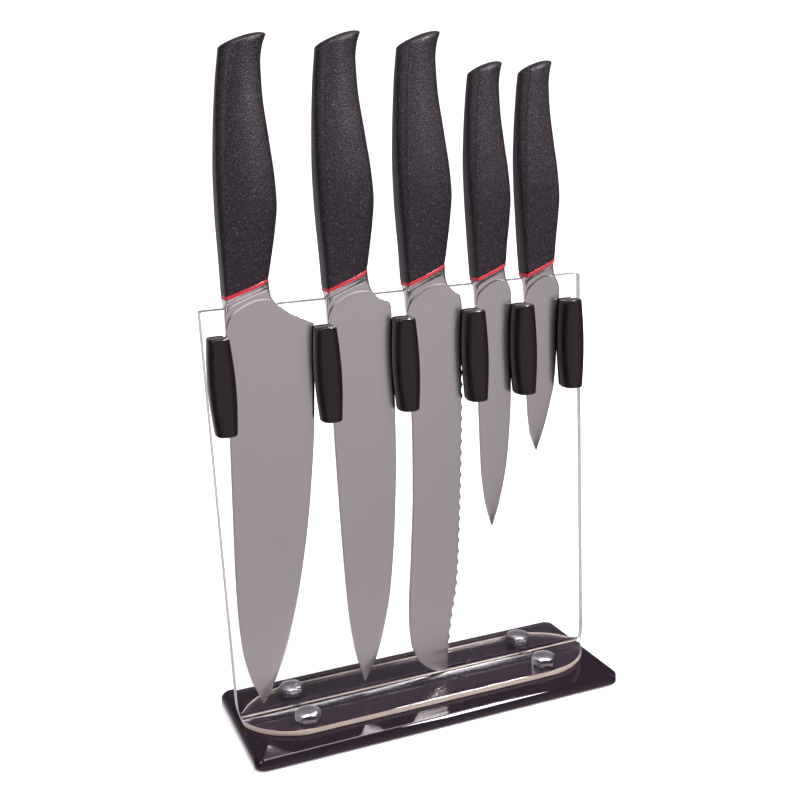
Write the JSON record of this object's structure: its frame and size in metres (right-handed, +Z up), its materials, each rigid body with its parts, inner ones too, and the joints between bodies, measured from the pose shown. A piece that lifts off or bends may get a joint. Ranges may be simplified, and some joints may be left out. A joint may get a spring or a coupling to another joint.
{
  "type": "magnetic knife stand with knives",
  "caption": "Clear acrylic tabletop knife stand on a glossy black base, with black magnetic bars between which red-ringed, dark-handled kitchen knives hang tip down.",
  "frame": {"origin": "on the supporting surface, under the middle of the base", "axes": "+X along the row of knives from the largest to the smallest, -Y is the front, +Z up"},
  "size_m": [0.208, 0.082, 0.3487],
  "materials": {
    "base": "polished black acrylic with a chamfered upper edge",
    "acrylic": "clear polished acrylic",
    "chrome": "bright plated",
    "brass": "turned",
    "rubber": "matt",
    "bar": "glossy black",
    "core": "plain black",
    "magnet": "nickel-plated magnet",
    "steel": "satin-ground stainless steel, polished at the bolster",
    "handle": "black moulded plastic with a fine stippled grain",
    "ring": "bright red spacer, semi-gloss"
  },
  "bodies": {
    "stand": {"base_plate": "base", "foot_front_left": "rubber", "foot_front_right": "rubber", "foot_rear_left": "rubber", "foot_rear_right": "rubber", "threaded_insert_front_left": "brass", "threaded_insert_front_right": "brass", "threaded_insert_rear_left": "brass", "threaded_insert_rear_right": "brass", "bolt_front_left": "chrome", "bolt_front_right": "chrome", "bolt_rear_left": "chrome", "bolt_rear_right": "chrome", "front_panel": "acrylic", "rear_panel": "acrylic", "bar_core_1": "core", "bar_core_2": "core", "bar_core_3": "core", "bar_core_4": "core", "bar_core_5": "core", "bar_core_6": "core", "bar_magnet_1": "magnet", "bar_magnet_2": "magnet", "bar_magnet_3": "magnet", "bar_magnet_4": "magnet", "bar_magnet_5": "magnet", "bar_magnet_6": "magnet", "bar_cover_1": "bar", "bar_cover_2": "bar", "bar_cover_3": "bar", "bar_cover_4": "bar", "bar_cover_5": "bar", "bar_cover_6": "bar"},
    "chef_knife": {"chef_blade": "steel", "chef_ring": "ring", "chef_handle": "handle"},
    "slicer_knife": {"slicer_blade": "steel", "slicer_ring": "ring", "slicer_handle": "handle"},
    "bread_knife": {"bread_blade": "steel", "bread_ring": "ring", "bread_handle": "handle"},
    "utility_knife": {"utility_blade": "steel", "utility_ring": "ring", "utility_handle": "handle"},
    "paring_knife": {"paring_blade": "steel", "paring_ring": "ring", "paring_handle": "handle"}
  },
  "joints": [
    {"name": "chef_lift", "type": "slide", "parent": "stand", "child": "chef_knife", "axis": [0.0506, 0, 0.9987], "range_m": [0, 0.2]},
    {"name": "slicer_lift", "type": "slide", "parent": "stand", "child": "slicer_knife", "axis": [0.0297, 0, 0.9996], "range_m": [0, 0.2]},
    {"name": "bread_lift", "type": "slide", "parent": "stand", "child": "bread_knife", "axis": [0.0471, 0, 0.9989], "range_m": [0, 0.2]},
    {"name": "utility_lift", "type": "slide", "parent": "stand", "child": "utility_knife", "axis": [0.0436, 0, 0.999], "range_m": [0, 0.125]},
    {"name": "paring_lift", "type": "slide", "parent": "stand", "child": "paring_knife", "axis": [0.0436, 0, 0.999], "range_m": [0, 0.09]}
  ]
}
